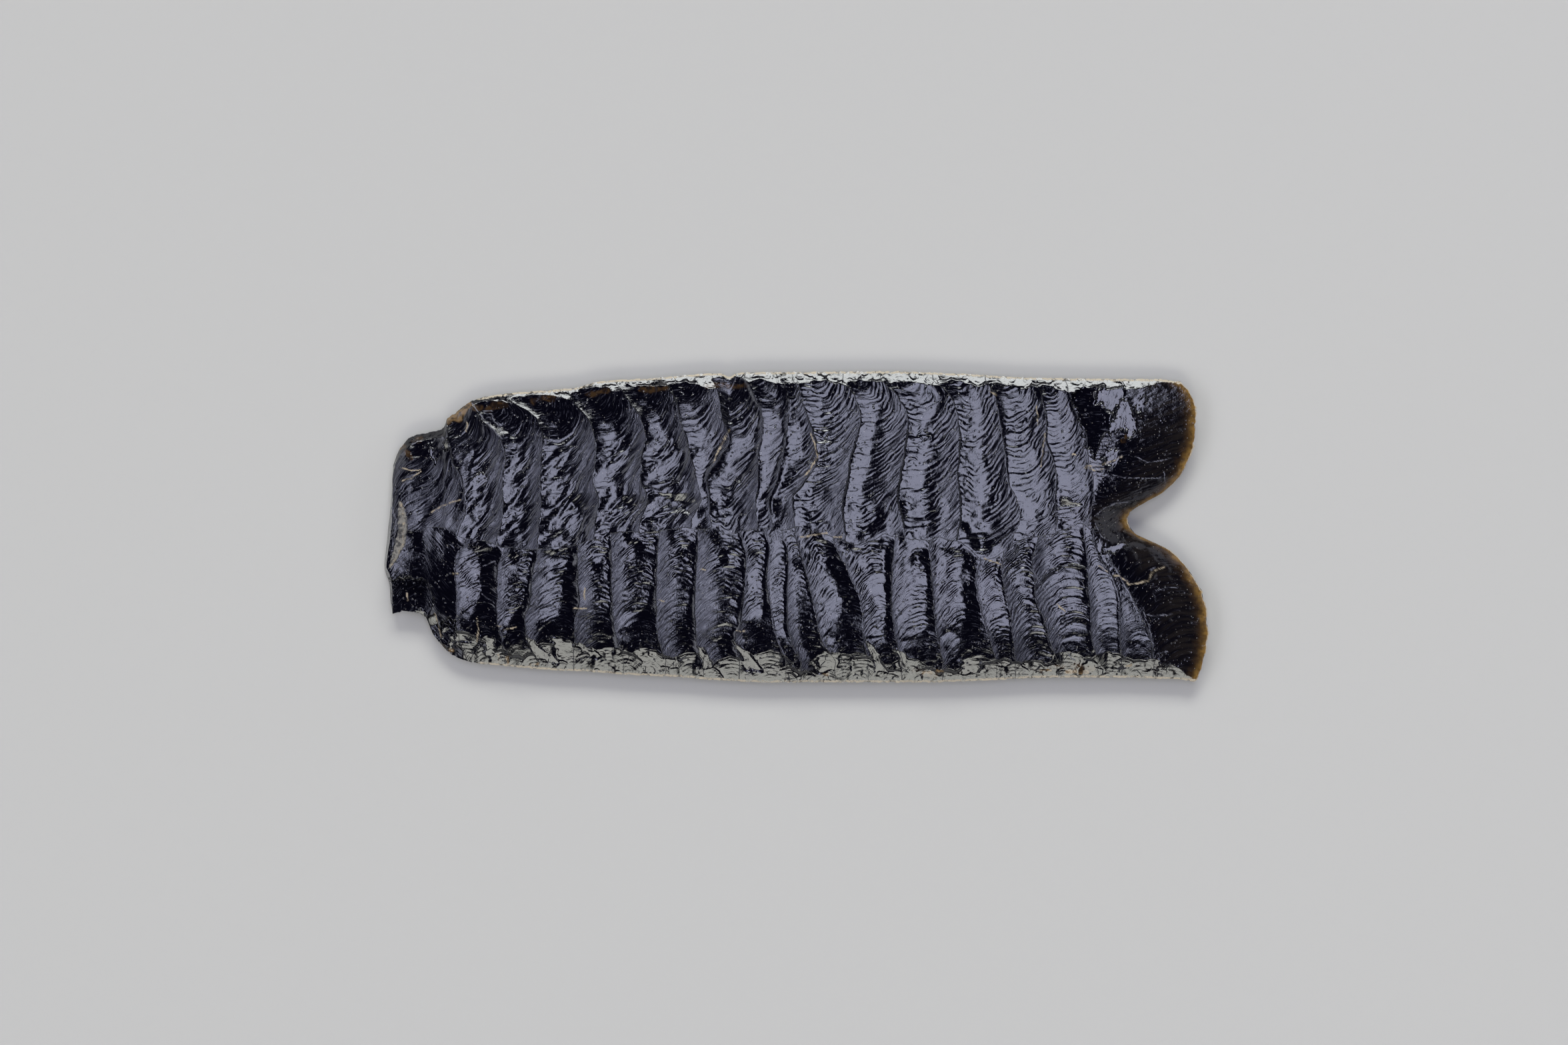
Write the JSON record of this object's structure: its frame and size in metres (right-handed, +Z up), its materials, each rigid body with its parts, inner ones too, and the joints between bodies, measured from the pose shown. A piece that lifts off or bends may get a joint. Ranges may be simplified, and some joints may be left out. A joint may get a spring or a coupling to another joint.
{
  "type": "fishtail knife",
  "caption": "Flat bifacial volcanic-glass blade with parallel ripple-flaked scars, bevelled long edges, a thin concave forked end and a snapped hafting end.",
  "frame": {"origin": "under the middle of the blade's box, on the plane of the ground patch that it rests on", "axes": "+X along the blade from the snapped end to the fork, +Y across the blade, +Z up out of the face that the picture shows"},
  "size_m": [0.15, 0.0566, 0.0062],
  "materials": {
    "obsidian": "fresh glassy fracture, mirror-like on smooth scars and matt grey on hackled ones"
  },
  "bodies": {
    "root": {"blade": "obsidian"}
  },
  "joints": []
}
